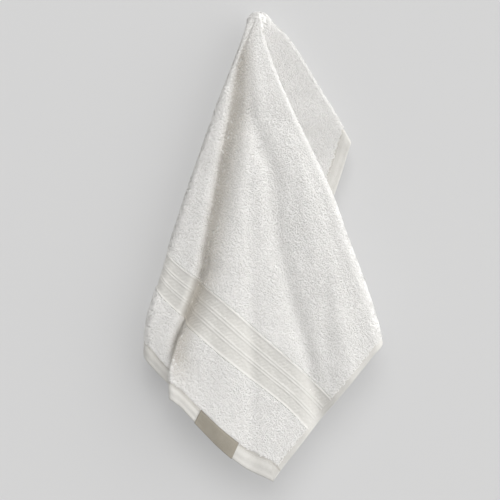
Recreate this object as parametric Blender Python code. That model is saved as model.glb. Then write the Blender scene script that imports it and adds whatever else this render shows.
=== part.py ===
# A terry face towel hung by one point near its left edge, so that it falls in folds like a narrow pleated cone.
# Lengths are in millimetres here and in metres on the meshes. X runs to the right, Y away from the viewer, Z up.
# The origin is where the hook's tip bears on the underside of the cloth.
import bpy
import math
import numpy as np

MM = 0.001

CLOTH_WIDTH = 480.0
CLOTH_LENGTH = 700.0
BODY_THICKNESS = 3.0
NECK_THICKNESS = 1.5
# Where the hook bears, measured on the flat cloth
HOOK_FROM_RIGHT_SELVEDGE = 415.0
HOOK_FROM_NEAR_HEM = 503.0

# The cloth gives a little on the bias, in the long part that hangs to the near hem, and less at its corner
BIAS_GIVE = 0.032
BIAS_STARTS = (10.0, 20.0)
BIAS_ENDS = (50.0, 70.0)
CORNER_SLACK = 0.012
CORNER_SPREAD = 3.0
# The near hem sags a little between the main panel's edge and the corner
HEM_SAG = 0.025
SAG_STARTS = 25.0
# The corner's slack and the sag come in over this last share of the way out from the hook
NEAR_EDGE = (0.78, 1.0)

# The rounded tip over the hook
TIP_HEIGHT = 16.0
TIP_HALF_WIDTH = 17.5
TIP_HALF_DEPTH = 15.0
TIP_SHIFT_X = 3.0
TIP_SHIFT_Y = 2.5
TIP_ENDS = (6.0, 20.0)
FOLDS_OPEN = (12.0, 58.0)

# Heights below the tip over which the bends open out of the gathers, spread in depth and round off,
# over which the cloth thickens from its crowded neck, and how far the back left fold leans in per millimetre
BENDS_OPEN = (12.0, 24.0)
BENDS_SPREAD = (25.0, 130.0)
BENDS_ROUND = (20.0, 460.0)
ROUNDING_POWER = 0.8
THICKENS = (45.0, 150.0)
BACK_LEFT_LEAN = 0.01

# One row per level: height below the tip, then how far the visible lines stand right of it, how deep the valley
# dips between the side panel and the main panel, and the depth of the main panel, of the side panel and of the back
LEVELS = [
    # height  left    valley  overlap  dip   ridge   flap    front   side    back
    (12.0,   -13.0,  -3.0,   -0.5,    0.0,  4.0,    17.0,  -12.5,  -11.0,   17.5),
    (30.0,   -18.0,  -10.0,  -1.0,    0.8,  6.0,    36.0,  -14.6,  -12.5,   17.6),
    (60.0,   -28.5,  -18.5,  -3.0,    3.0,  14.5,   58.0,  -19.5,  -17.0,   18.0),
    (95.0,   -42.0,  -22.5,  -5.0,    6.2,  27.0,   79.0,  -25.0,  -21.5,   18.6),
    (140.0,  -59.0,  -28.5,  -5.0,    8.0,  46.0,   106.5, -31.0,  -26.5,   19.5),
    (200.0,  -80.0,  -41.5,  -4.5,    9.0,  74.5,   140.0, -37.0,  -31.5,   21.0),
    (260.0,  -101.0, -52.5,  -4.0,    9.5,  102.5,  176.0, -41.5,  -35.0,   22.5),
    (320.0,  -120.5, -64.5,  -4.0,    9.5,  124.0,  212.0, -44.5,  -37.0,   23.5),
    (380.0,  -138.5, -76.0,  -4.0,    9.0,  146.5,  248.0, -47.0,  -38.0,   24.0),
    (430.0,  -154.5, -95.5,  -3.5,    8.0,  163.0,  278.0, -48.5,  -38.5,   24.4),
    (470.0,  -159.0, -114.0, 0.0,     5.0,  172.5,  302.0, -50.0,  -38.5,   24.8),
    (500.0,  -160.0, -121.0, 8.0,     2.0,  174.5,  320.0, -50.5,  -38.0,   25.0),
    (540.0,  -159.0, -121.5, 16.0,    0.0,  175.5,  344.0, -51.0,  -38.0,   25.0),
    (680.0,  -158.0, -118.0, 17.0,    0.0,  170.0,  428.0, -52.0,  -38.5,   25.0),
]
LEVEL_NAMES = ("height", "left", "valley", "overlap", "dip", "ridge", "flap", "front", "side", "back")

# One row per fold, in the order met going round the hook from the front left.
# turn is +1 where the outer face is on the outside of the bend. The cloth angles are measured at the hook from the
# near hem round to the right selvedge. share is how deep the bend stands between front (0) and back (1).
# start and lean place the bends that have no column above.
FOLDS = [
    # name          turn  enters  leaves  radius       share         start  lean    steps  leg
    ("front_left",   1,   12.0,   15.5,  (3.0, 14.0), None,          None,  None,    3,    5),
    ("valley",      -1,   20.0,   20.8,  (0.9, 2.8),  None,          None,  None,    4,    3),
    ("main_edge",    1,   22.8,   23.6,  (0.9, 2.8),  None,          None,  None,    4,   17),
    ("ridge",        1,   55.6,   58.8,  (1.8, 9.0),  None,          None,  None,    4,    4),
    ("tuck",        -1,   95.2,   97.0,  (1.8, 4.5),  (0.18, 0.46),  10.0, -0.285,   4,    7),
    ("flap",         1,   146.0,  148.0, (1.8, 4.0),  (0.30, 0.545),  None,  None,    4,    5),
    ("back_tuck",   -1,   197.4,  199.2, (1.8, 3.2),  (0.42, 0.61),  14.0, -0.280,   4,    4),
    ("pleat_out",    1,   232.0,  240.0, (4.2, 4.2),  (0.62, 0.715),  17.0,  0.330,   4,    4),
    ("pleat_in",    -1,   300.0,  308.0, (1.8, 2.6),  (0.82, 0.865),  14.0, -0.275,   4,    6),
    ("far_fold",     1,   351.8,  354.6, (1.8, 6.0),  (0.94, 0.93),  12.0,  0.048,   4,    4),
    ("back_left",    1,   367.5,  370.5, (3.0, 14.0), None,          None,  None,    3,    2),
]
TURNS = np.array([row[1] for row in FOLDS], float)
BEND_NUMBER = {row[0]: i for i, row in enumerate(FOLDS)}

# The valley is a soft channel: its width and the rounding of its sides at the neck and below, and the cloth angles
# that it lies within. The rounding is gone at the height where the main panel starts to overlap the side panel
VALLEY_WIDTH = (5.0, 11.0)
VALLEY_ROUNDING = 4.0
VALLEY_CLOSES = (350.0, 470.0)
VALLEY_FADES_IN = (13.0, 17.5)
VALLEY_FADES_OUT = (30.0, 40.0)

# Soft forms on the main panel: its long trough and two slack swells, one row each.
# Each follows a line from (height, x) to (height, x); positive pushes the cloth back
SWELLS = [
    # top            foot             width  depth  grows from
    ((130.0, -6.0),  (560.0, 92.0),   17.0,  4.0,   70.0),
    ((200.0, -22.0), (600.0, -50.0),  28.0,  -3.5,  120.0),
    ((190.0, 52.0),  (520.0, 132.0),  22.0,  -4.0,  120.0),
]

# Each grows over this much height, and all of them fade out over these cloth angles beside the main panel's folds
SWELL_GROWTH = 120.0
LEFT_FADE = (24.5, 31.0)
RIGHT_FADE = (50.0, 55.6)

RING_HEIGHTS = (0.6, 2.6, 6.0, 10.5, 16.0, 23.0, 32.0, 43.0)
LOWER_RINGS = 10

LABEL_WIDTH = 68.0
LABEL_HEIGHT = 23.0
LABEL_FROM_CORNER = 89.0
LABEL_OVER_EDGE = 1.0
LABEL_THICKNESS = 0.8
LABEL_GAP = 0.8
LABEL_COLUMNS = 12
LABEL_ROWS = 4

TOWEL_COLOUR = (0.83, 0.82, 0.79, 1.0)
LABEL_COLOUR = (0.50, 0.47, 0.43, 1.0)


def ease(start, end, value):
    share = np.clip((value - start) / (end - start), 0.0, 1.0)
    return share * share * (3.0 - 2.0 * share)


def level(name, height):
    """A column of LEVELS at any height, on a smooth curve through its rows."""
    table = np.array(LEVELS)
    heights = table[:, 0]
    values = table[:, LEVEL_NAMES.index(name)]
    slopes = np.gradient(values, heights)
    height = np.clip(height, heights[0], heights[-1])
    row = np.clip(np.searchsorted(heights, height) - 1, 0, len(heights) - 2)
    span = heights[row + 1] - heights[row]
    t = (height - heights[row]) / span
    low = (1 + 2 * t) * (1 - t) ** 2 * values[row] + t * (1 - t) ** 2 * span * slopes[row]
    high = t * t * (3 - 2 * t) * values[row + 1] - t * t * (1 - t) * span * slopes[row + 1]
    return low + high


def bends(height):
    """Centre and signed radius of every bend at these heights, as arrays of bends by heights."""
    grown = ease(*BENDS_ROUND, height) ** ROUNDING_POWER
    spread = ease(*BENDS_SPREAD, height)
    opened = ease(*BENDS_OPEN, height)
    out = ease(*FOLDS_OPEN, height)
    lines = {name: level(name, height) for name in LEVEL_NAMES[1:]}
    count = len(FOLDS)
    x = np.zeros((count, len(height)))
    y = np.zeros((count, len(height)))
    radius = np.zeros((count, len(height)))
    for i, (name, turn, enters, leaves, radii, share, start, lean, steps, leg) in enumerate(FOLDS):
        if name in ("valley", "main_edge"):
            rounding = VALLEY_ROUNDING * (1.0 - ease(*VALLEY_CLOSES, height))
            size = radii[0] + (radii[1] - radii[0] + rounding) * spread
        else:
            size = (radii[0] + (radii[1] - radii[0]) * grown) * (0.5 + 0.5 * opened)
        radius[i] = size
        if share is not None:
            part = share[0] + (share[1] - share[0]) * spread
            y[i] = lines["front"] + (lines["back"] - lines["front"]) * part
        if start is not None:
            far = start + lean * height if turn > 0 else lean * height
            x[i] = start + (far - start) * out - turn * size
    left = BEND_NUMBER["front_left"]
    x[left] = lines["left"] + radius[left]
    y[left] = lines["side"] + radius[left]
    rear = BEND_NUMBER["back_left"]
    x[rear] = lines["left"] + radius[rear] + BACK_LEFT_LEAN * height
    y[rear] = lines["back"] - radius[rear]
    valley = BEND_NUMBER["valley"]
    x[valley] = lines["valley"] + lines["overlap"] - radius[valley]
    y[valley] = lines["side"] - radius[valley]
    edge = BEND_NUMBER["main_edge"]
    x[edge] = lines["valley"] + radius[edge]
    y[edge] = lines["front"] + radius[edge]
    ridge = BEND_NUMBER["ridge"]
    x[ridge] = lines["ridge"] - radius[ridge]
    y[ridge] = lines["front"] + radius[ridge]
    flap = BEND_NUMBER["flap"]
    x[flap] = lines["flap"] - radius[flap]
    return x, y, radius * TURNS[:, None]


def leg_direction(x, y, radius, i, j):
    """Direction of the straight cloth that leaves bend i and touches bend j."""
    step_x = x[j] - x[i]
    step_y = y[j] - y[i]
    apart = np.hypot(step_x, step_y)
    lean = np.arcsin(np.clip((radius[j] - radius[i]) / apart, -1.0, 1.0))
    return np.arctan2(step_y, step_x) - lean


def pleated(angle, height):
    """Plan position and direction of the cloth at these cloth angles and heights, before the tip is rounded."""
    x, y, radius = bends(height)
    count = len(FOLDS)
    edges = np.array([side for row in FOLDS for side in (row[2], row[3])] + [FOLDS[0][2] + 360.0])
    angle = (angle - edges[0]) % 360.0 + edges[0]
    part = np.clip(np.searchsorted(edges, angle, side="right") - 1, 0, 2 * count - 1)
    share = (angle - edges[part]) / (edges[part + 1] - edges[part])
    here = part // 2
    column = np.arange(len(height))
    directions = np.array([leg_direction(x, y, radius, i, (i + 1) % count) for i in range(count)])
    after = directions[here, column]
    before = directions[(here - 1) % count, column]
    swing = (after - before) * TURNS[here] % (2.0 * math.pi) * TURNS[here]
    swing = np.where(np.abs(swing) > 1.6 * math.pi, 0.0, swing)
    bent = before + swing * share
    following = (here + 1) % count
    on_leg = part % 2 == 1
    way = np.where(on_leg, after, bent)
    normal = np.stack([-np.sin(way), np.cos(way)])
    first = np.stack([x[here, column], y[here, column]]) - radius[here, column] * normal
    last = np.stack([x[following, column], y[following, column]]) - radius[following, column] * normal
    place = np.where(on_leg, first + (last - first) * share, first)
    return place[0], place[1], np.cos(way), np.sin(way)


def tip_turn(angle):
    """Where each cloth angle lies round the tip, taken from the pleats just below it."""
    low = np.full(len(angle), LEVELS[0][0])
    x, y, _, _ = pleated(angle, low)
    return np.arctan2((y - TIP_SHIFT_Y) / TIP_HALF_DEPTH, (x - TIP_SHIFT_X) / TIP_HALF_WIDTH)


def swell(x, height, angle):
    """How far the soft forms push the main panel back, fading out towards its edges."""
    inner = ease(*LEFT_FADE, angle) * (1.0 - ease(*RIGHT_FADE, angle))
    push = np.zeros(len(height))
    for top, foot, width, depth, begins in SWELLS:
        line = top[1] + (foot[1] - top[1]) * (height - top[0]) / (foot[0] - top[0])
        push += depth * np.exp(-(((x - line) / width) ** 2)) * ease(begins, begins + SWELL_GROWTH, height)
    return push * inner


def valley_dip(x, height, angle):
    """How far the valley between the side panel and the main panel lies behind them."""
    within = ease(*VALLEY_FADES_IN, angle) * (1.0 - ease(*VALLEY_FADES_OUT, angle))
    line = level("valley", height) + level("overlap", height)
    width = VALLEY_WIDTH[0] + (VALLEY_WIDTH[1] - VALLEY_WIDTH[0]) * ease(*BENDS_SPREAD, height)
    return level("dip", height) * np.exp(-(((x - line) / width) ** 2)) * within


def surface(angle, height):
    """Middle of the cloth and its outward direction at these cloth angles and heights."""
    def place(at):
        x, y, along_x, along_y = pleated(angle, at)
        turn = tip_turn(angle)
        rise = np.clip(at / TIP_HEIGHT, 0.0, 1.0)
        size = np.sqrt(np.clip(1.0 - (1.0 - rise) ** 2, 0.0, 1.0))
        round_x = TIP_SHIFT_X * rise + TIP_HALF_WIDTH * size * np.cos(turn)
        round_y = TIP_SHIFT_Y * rise + TIP_HALF_DEPTH * size * np.sin(turn)
        folded = ease(*TIP_ENDS, at)
        x = round_x + (x - round_x) * folded
        y = round_y + (y - round_y) * folded + swell(x, at, angle) + valley_dip(x, at, angle)
        ring_x = -TIP_HALF_WIDTH * np.sin(turn) / TIP_HALF_DEPTH
        ring_y = np.cos(turn)
        length = np.hypot(ring_x, ring_y)
        along_x = ring_x / length * (1.0 - folded) + along_x * folded
        along_y = ring_y / length * (1.0 - folded) + along_y * folded
        return np.stack([x, y, -at], axis=1), np.stack([along_x, along_y, 0 * at], axis=1)

    middle, along = place(height)
    step = np.minimum(0.25, 0.4 * height)
    below, _ = place(height + step)
    above, _ = place(height - step)
    down = below - above
    outward = np.cross(down, along)
    outward /= np.linalg.norm(outward, axis=1)[:, None]
    return middle, outward


def flat_reach(angle):
    """Distance on the flat cloth from the hook to the cloth's edge in each direction."""
    side = np.radians(angle)
    right = HOOK_FROM_RIGHT_SELVEDGE
    left = CLOTH_WIDTH - right
    near = HOOK_FROM_NEAR_HEM
    far = CLOTH_LENGTH - near
    across = np.sin(side)
    length = np.cos(side)
    to_side = np.where(across > 0, right, left) / np.maximum(np.abs(across), 1e-6)
    to_hem = np.where(length > 0, near, far) / np.maximum(np.abs(length), 1e-6)
    return np.minimum(to_side, to_hem)


def give(angle, reach):
    inside = ease(*BIAS_STARTS, angle) * (1.0 - ease(*BIAS_ENDS, angle))
    corner = np.degrees(np.arctan2(HOOK_FROM_RIGHT_SELVEDGE, HOOK_FROM_NEAR_HEM))
    slack = CORNER_SLACK * np.exp(-(((angle - corner) / CORNER_SPREAD) ** 2))
    sag = HEM_SAG * np.sin(math.pi * np.clip((angle - SAG_STARTS) / (corner - SAG_STARTS), 0.0, 1.0))
    return 1.0 + BIAS_GIVE * inside + (sag - slack) * ease(*NEAR_EDGE, reach / flat_reach(angle))


def depth_below(angle, reach):
    """Height below the tip of a point this far from the hook along the cloth."""
    target = reach * give(angle, reach) - (math.pi / 2.0 - 1.0) * TIP_HEIGHT
    height = target * 0.95
    for _ in range(8):
        middle, _ = surface(angle, height)
        height = np.sqrt(np.maximum(target ** 2 - middle[:, 0] ** 2 - middle[:, 1] ** 2, 100.0))
    return height


def stations():
    """Cloth angles of the mesh's columns: steps in every bend and along every leg."""
    angles = []
    for i, row in enumerate(FOLDS):
        enters, leaves, steps, leg = row[2], row[3], row[8], row[9]
        following = FOLDS[(i + 1) % len(FOLDS)][2] + (360.0 if i == len(FOLDS) - 1 else 0.0)
        angles += list(np.linspace(enters, leaves, steps + 1))
        angles += list(np.linspace(leaves, following, leg + 1))[1:-1]
    corners = [math.degrees(math.atan2(HOOK_FROM_RIGHT_SELVEDGE, HOOK_FROM_NEAR_HEM))]
    corners.append(180.0 - math.degrees(math.atan2(HOOK_FROM_RIGHT_SELVEDGE, CLOTH_LENGTH - HOOK_FROM_NEAR_HEM)))
    for corner in corners:
        nearest = int(np.argmin(np.abs(np.array(angles) - corner)))
        angles[nearest] = corner
    return np.array(angles)


def cloth_mesh():
    angles = stations()
    lowest = depth_below(angles, flat_reach(angles))
    columns = len(angles)
    shares = np.linspace(0.0, 1.0, LOWER_RINGS + 1)[1:]
    rings = [np.full(columns, value) for value in RING_HEIGHTS]
    rings += [RING_HEIGHTS[-1] + (lowest - RING_HEIGHTS[-1]) * share for share in shares]
    outer = [(0.0, 0.0, NECK_THICKNESS)]
    inner = [(0.0, 0.0, 0.0)]
    for heights in rings:
        middle, outward = surface(angles, heights)
        middle[:, 2] += NECK_THICKNESS / 2.0
        half = (NECK_THICKNESS + (BODY_THICKNESS - NECK_THICKNESS) * ease(*THICKENS, heights)) / 2.0
        outer += list(middle + outward * half[:, None])
        inner += list(middle - outward * half[:, None])
    count = len(outer)
    points = [tuple(float(value) * MM for value in point) for point in outer + inner]
    faces = []
    for i in range(columns):
        j = (i + 1) % columns
        faces.append((0, 1 + i, 1 + j))
        faces.append((count, count + 1 + j, count + 1 + i))
        for ring in range(len(rings) - 1):
            a = 1 + ring * columns
            b = a + columns
            faces.append((a + i, b + i, b + j, a + j))
            faces.append((count + a + j, count + b + j, count + b + i, count + a + i))
        last = 1 + (len(rings) - 1) * columns
        faces.append((last + i, count + last + i, count + last + j, last + j))
    return points, faces


def cloth_position(from_corner, from_hem):
    """Outer face of the cloth at distances from the near right corner, along the near hem and up from it."""
    across = HOOK_FROM_RIGHT_SELVEDGE - from_corner
    up = HOOK_FROM_NEAR_HEM - from_hem
    angle = np.degrees(np.arctan2(across, up))
    return surface(angle, depth_below(angle, np.hypot(across, up)))


def label_mesh():
    along = np.linspace(LABEL_FROM_CORNER, LABEL_FROM_CORNER + LABEL_WIDTH, LABEL_COLUMNS + 1)
    up = np.linspace(-LABEL_OVER_EDGE, LABEL_HEIGHT - LABEL_OVER_EDGE, LABEL_ROWS + 1)
    grid_along, grid_up = np.meshgrid(along, up)
    middle, outward = cloth_position(grid_along.ravel(), grid_up.ravel())
    middle[:, 2] += NECK_THICKNESS / 2.0
    near = BODY_THICKNESS / 2.0 + LABEL_GAP
    front = middle + outward * (near + LABEL_THICKNESS)
    rear = middle + outward * near
    points = [tuple(float(value) * MM for value in point) for point in list(front) + list(rear)]
    wide = LABEL_COLUMNS + 1
    count = len(front)
    faces = []
    for row in range(LABEL_ROWS):
        for column in range(LABEL_COLUMNS):
            a = row * wide + column
            b = a + wide
            faces.append((a, b, b + 1, a + 1))
            faces.append((count + a, count + a + 1, count + b + 1, count + b))
    rim = list(range(wide))
    rim += [row * wide + wide - 1 for row in range(1, LABEL_ROWS + 1)]
    rim += [LABEL_ROWS * wide + column for column in range(wide - 2, -1, -1)]
    rim += [row * wide for row in range(LABEL_ROWS - 1, 0, -1)]
    for i, a in enumerate(rim):
        b = rim[(i + 1) % len(rim)]
        faces.append((a, b, count + b, count + a))
    return points, faces


def make_material(name, colour, roughness):
    material = bpy.data.materials.new(name)
    material.use_nodes = True
    shader = material.node_tree.nodes["Principled BSDF"]
    shader.inputs["Base Color"].default_value = colour
    shader.inputs["Roughness"].default_value = roughness
    shader.inputs["Metallic"].default_value = 0.0
    return material


def add_object(name, points, faces, material):
    mesh = bpy.data.meshes.new(name)
    mesh.from_pydata(points, [], faces)
    mesh.validate()
    mesh.shade_smooth()
    mesh.materials.append(material)
    piece = bpy.data.objects.new(name, mesh)
    bpy.context.scene.collection.objects.link(piece)
    return piece


for old in list(bpy.data.objects):
    bpy.data.objects.remove(old, do_unlink=True)

towel = add_object("towel", *cloth_mesh(), make_material("terry", TOWEL_COLOUR, 0.95))
label = add_object("label", *label_mesh(), make_material("label_weave", LABEL_COLOUR, 0.6))
label.parent = towel
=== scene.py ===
import bpy
import math
import numpy as np
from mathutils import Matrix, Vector


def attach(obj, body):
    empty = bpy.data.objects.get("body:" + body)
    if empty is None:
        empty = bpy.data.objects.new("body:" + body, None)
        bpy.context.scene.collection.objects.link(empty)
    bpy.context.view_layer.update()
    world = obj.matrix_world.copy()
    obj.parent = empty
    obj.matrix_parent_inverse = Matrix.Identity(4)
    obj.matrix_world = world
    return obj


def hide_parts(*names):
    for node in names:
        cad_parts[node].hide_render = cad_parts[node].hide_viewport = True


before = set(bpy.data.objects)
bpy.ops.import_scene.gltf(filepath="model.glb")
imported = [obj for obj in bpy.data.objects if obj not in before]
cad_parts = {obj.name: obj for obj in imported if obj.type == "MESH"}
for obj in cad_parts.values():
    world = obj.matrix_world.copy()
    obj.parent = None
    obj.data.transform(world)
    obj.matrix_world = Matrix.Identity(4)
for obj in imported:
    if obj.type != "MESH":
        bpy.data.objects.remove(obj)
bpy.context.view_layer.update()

mm = 0.001


def ease(start, end, value):
    share = np.clip((value - start) / (end - start), 0.0, 1.0)
    return share * share * (3.0 - 2.0 * share)


def softNoise(x, y, cell, seed):
    # smooth value noise between -1 and 1, on a square lattice of this cell
    lattice = np.random.default_rng(seed).uniform(-1.0, 1.0, (64, 64))
    u, v = x / cell + 16.37, y / cell + 16.71
    i, j = np.floor(u).astype(int), np.floor(v).astype(int)
    s, t = u - i, v - j
    s, t = s * s * (3 - 2 * s), t * t * (3 - 2 * t)

    def at(p, q):
        return lattice[p % 64, q % 64]

    near = at(i, j) * (1 - s) + at(i + 1, j) * s
    far = at(i, j + 1) * (1 - s) + at(i + 1, j + 1) * s
    return near * (1 - t) + far * t


cloth = {
    "width": 480.0,
    "length": 700.0,
    "hookFromRight": 415.0,  # where the hook bears, from the right selvedge
    "hookFromHem": 503.0,  # and from the near hem
    "bodyHalf": 1.5,
    "neckShare": 0.5,  # the cloth is squeezed to this share of its thickness under the tip
    "thickens": (45.0, 150.0),
    "hem": 20.0,
    "selvedge": 10.0,
    "biasGive": 0.032,
    "biasStarts": (10.0, 20.0),
    "biasEnds": (50.0, 70.0),
    "cornerSlack": 0.012,
    "cornerSpread": 3.0,
    "hemSag": 0.025,
    "sagStarts": 25.0,
    "nearEdge": (0.78, 1.0),  # the corner's slack and the sag come in over this share of the way out
    "tipHeight": 16.0,
    "tipHalfWidth": 17.5,
    "tipHalfDepth": 15.0,
    "tipShiftX": 3.0,
    "tipShiftY": 2.5,
    "tipEnds": (6.0, 20.0),
    "foldsOpen": (12.0, 58.0),
    "bendsOpen": (12.0, 24.0),
    "bendsSpread": (25.0, 130.0),
    "bendsRound": (20.0, 460.0),
    "roundingPower": 0.8,
    "backLeftLean": 0.01,
}

levelNames = ("height", "left", "valley", "overlap", "dip", "ridge", "flap", "front", "side", "back")
levels = np.array([
    (12.0, -13.0, -3.0, -0.5, 0.0, 4.0, 17.0, -12.5, -11.0, 17.5),
    (30.0, -18.0, -10.0, -1.0, 0.8, 6.0, 36.0, -14.6, -12.5, 17.6),
    (60.0, -28.5, -18.5, -3.0, 3.0, 14.5, 58.0, -19.5, -17.0, 18.0),
    (95.0, -42.0, -22.5, -5.0, 6.2, 27.0, 79.0, -25.0, -21.5, 18.6),
    (140.0, -59.0, -28.5, -5.0, 8.0, 46.0, 106.5, -31.0, -26.5, 19.5),
    (200.0, -80.0, -41.5, -4.5, 9.0, 74.5, 140.0, -37.0, -31.5, 21.0),
    (260.0, -101.0, -52.5, -4.0, 9.5, 102.5, 176.0, -41.5, -35.0, 22.5),
    (320.0, -120.5, -64.5, -4.0, 9.5, 124.0, 212.0, -44.5, -37.0, 23.5),
    (380.0, -138.5, -76.0, -4.0, 9.0, 146.5, 248.0, -47.0, -38.0, 24.0),
    (430.0, -154.5, -95.5, -3.5, 8.0, 163.0, 278.0, -48.5, -38.5, 24.4),
    (470.0, -159.0, -114.0, 0.0, 5.0, 172.5, 302.0, -50.0, -38.5, 24.8),
    (500.0, -160.0, -121.0, 8.0, 2.0, 174.5, 320.0, -50.5, -38.0, 25.0),
    (540.0, -159.0, -121.5, 16.0, 0.0, 175.5, 344.0, -51.0, -38.0, 25.0),
    (680.0, -158.0, -118.0, 17.0, 0.0, 170.0, 428.0, -52.0, -38.5, 25.0),
])

# name, turn, cloth angle entering and leaving, radius at neck and foot, depth share at neck and foot,
# start, lean, mesh steps round the bend and along the cloth after it
folds = [
    ("frontLeft", 1, 12.0, 15.5, (3.0, 14.0), None, None, None, 6, 16),
    ("valley", -1, 20.0, 20.8, (0.9, 2.8), None, None, None, 6, 6),
    ("mainEdge", 1, 22.8, 23.6, (0.9, 2.8), None, None, None, 6, 76),
    ("ridge", 1, 55.6, 58.8, (2.2, 13.0), None, None, None, 8, 28),
    ("tuck", -1, 95.2, 97.0, (1.8, 4.5), (0.18, 0.46), 10.0, -0.285, 6, 34),
    ("flap", 1, 146.0, 148.0, (1.8, 4.0), (0.30, 0.545), None, None, 6, 20),
    ("backTuck", -1, 197.4, 199.2, (1.8, 3.2), (0.42, 0.61), 14.0, -0.280, 5, 12),
    ("pleatOut", 1, 232.0, 240.0, (4.2, 4.2), (0.62, 0.715), 17.0, 0.330, 6, 12),
    ("pleatIn", -1, 300.0, 308.0, (1.8, 2.6), (0.82, 0.865), 14.0, -0.275, 6, 20),
    ("farFold", 1, 351.8, 354.6, (1.8, 6.0), (0.94, 0.93), 12.0, 0.048, 6, 14),
    ("backLeft", 1, 367.5, 370.5, (3.0, 14.0), None, None, None, 6, 6),
]
turns = np.array([row[1] for row in folds], float)
foldNumber = {row[0]: i for i, row in enumerate(folds)}

# Soft forms on the main panel, each along a path from the top down: heights, places right of the tip,
# width, depth (positive is pushed back), height where it begins
swells = [
    (
        (130.0, 190.0, 228.0, 320.0, 400.0, 496.0, 560.0), (-16.0, 4.0, 19.0, 27.0, 46.0, 72.0, 84.0),
        13.0, 8.5, 70.0,
    ),
    ((200.0, 600.0), (-22.0, -50.0), 26.0, -4.0, 120.0),
    ((190.0, 330.0, 520.0), (52.0, 84.0, 132.0), 20.0, -5.5, 120.0),
    ((250.0, 330.0, 420.0), (66.0, 88.0, 96.0), 9.0, 2.6, 230.0),
    ((150.0, 240.0, 330.0), (6.0, -14.0, -8.0), 10.0, 2.2, 110.0),
]
swellFade = {"left": (24.5, 31.0), "right": (50.0, 55.6), "growth": 120.0}
# The cloth's slack unevenness on the panels that show: cell, depth and seed, and the cloth angles of the panels
slack = {
    "cells": ((46.0, 1.3, 51), (19.0, 0.55, 52)),
    "begins": (50.0, 130.0),
    "panels": ((11.0, 15.0, 50.0, 56.0), (104.0, 112.0, 140.0, 146.0)),
}

# The side panel leans back towards its outer fold
sideLean = {"depth": 12.0, "grows": (60.0, 220.0), "begins": (10.5, 12.5), "flat": (15.5, 20.5)}

# The soft channel between the side panel and the main panel
channel = {
    "width": (5.0, 11.0),
    "rounding": 4.0,
    "closes": (350.0, 470.0),
    "left": (13.0, 17.5),
    "right": (34.0, 44.0),
    "sides": (0.85, 1.9),  # its left side is steeper than its right
    "deepened": 2.6,  # the cloth creases deeper than its solid
    "shoulders": 0.75,  # how far its sides swell forward, as a share of its depth
    "shadeDepth": 3.5,  # from this depth on, the painted shade in the channel is at full strength
}


def levelAt(name, height):
    heights, values = levels[:, 0], levels[:, levelNames.index(name)]
    slopes = np.gradient(values, heights)
    height = np.clip(height, heights[0], heights[-1])
    row = np.clip(np.searchsorted(heights, height) - 1, 0, len(heights) - 2)
    span = heights[row + 1] - heights[row]
    t = (height - heights[row]) / span
    low = (1 + 2 * t) * (1 - t) ** 2 * values[row] + t * (1 - t) ** 2 * span * slopes[row]
    high = t * t * (3 - 2 * t) * values[row + 1] - t * t * (1 - t) * span * slopes[row + 1]
    return low + high


def bendsAt(height):
    # centre and signed radius of every bend at these heights
    grown = ease(*cloth["bendsRound"], height) ** cloth["roundingPower"]
    spread = ease(*cloth["bendsSpread"], height)
    opened = ease(*cloth["bendsOpen"], height)
    out = ease(*cloth["foldsOpen"], height)
    lines = {name: levelAt(name, height) for name in levelNames[1:]}
    x = np.zeros((len(folds), len(height)))
    y, radius = np.zeros_like(x), np.zeros_like(x)
    for i, (name, turn, _, _, radii, share, start, lean, _, _) in enumerate(folds):
        if name in ("valley", "mainEdge"):
            rounding = channel["rounding"] * (1.0 - ease(*channel["closes"], height))
            size = radii[0] + (radii[1] - radii[0] + rounding) * spread
        else:
            size = (radii[0] + (radii[1] - radii[0]) * grown) * (0.5 + 0.5 * opened)
        radius[i] = size
        if share is not None:
            deep = share[0] + (share[1] - share[0]) * spread
            y[i] = lines["front"] + (lines["back"] - lines["front"]) * deep
        if start is not None:
            far = start + lean * height if turn > 0 else lean * height
            x[i] = start + (far - start) * out - turn * size
    left, rear = foldNumber["frontLeft"], foldNumber["backLeft"]
    x[left], y[left] = lines["left"] + radius[left], lines["side"] + radius[left]
    x[rear] = lines["left"] + radius[rear] + cloth["backLeftLean"] * height
    y[rear] = lines["back"] - radius[rear]
    valley, edge = foldNumber["valley"], foldNumber["mainEdge"]
    x[valley], y[valley] = lines["valley"] + lines["overlap"] - radius[valley], lines["side"] - radius[valley]
    x[edge], y[edge] = lines["valley"] + radius[edge], lines["front"] + radius[edge]
    ridge, flap = foldNumber["ridge"], foldNumber["flap"]
    x[ridge], y[ridge] = lines["ridge"] - radius[ridge], lines["front"] + radius[ridge]
    x[flap] = lines["flap"] - radius[flap]
    return x, y, radius * turns[:, None]


def legWay(x, y, radius, i, j):
    # direction of the straight cloth that leaves bend i and touches bend j
    stepX, stepY = x[j] - x[i], y[j] - y[i]
    lean = np.arcsin(np.clip((radius[j] - radius[i]) / np.hypot(stepX, stepY), -1.0, 1.0))
    return np.arctan2(stepY, stepX) - lean


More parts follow.
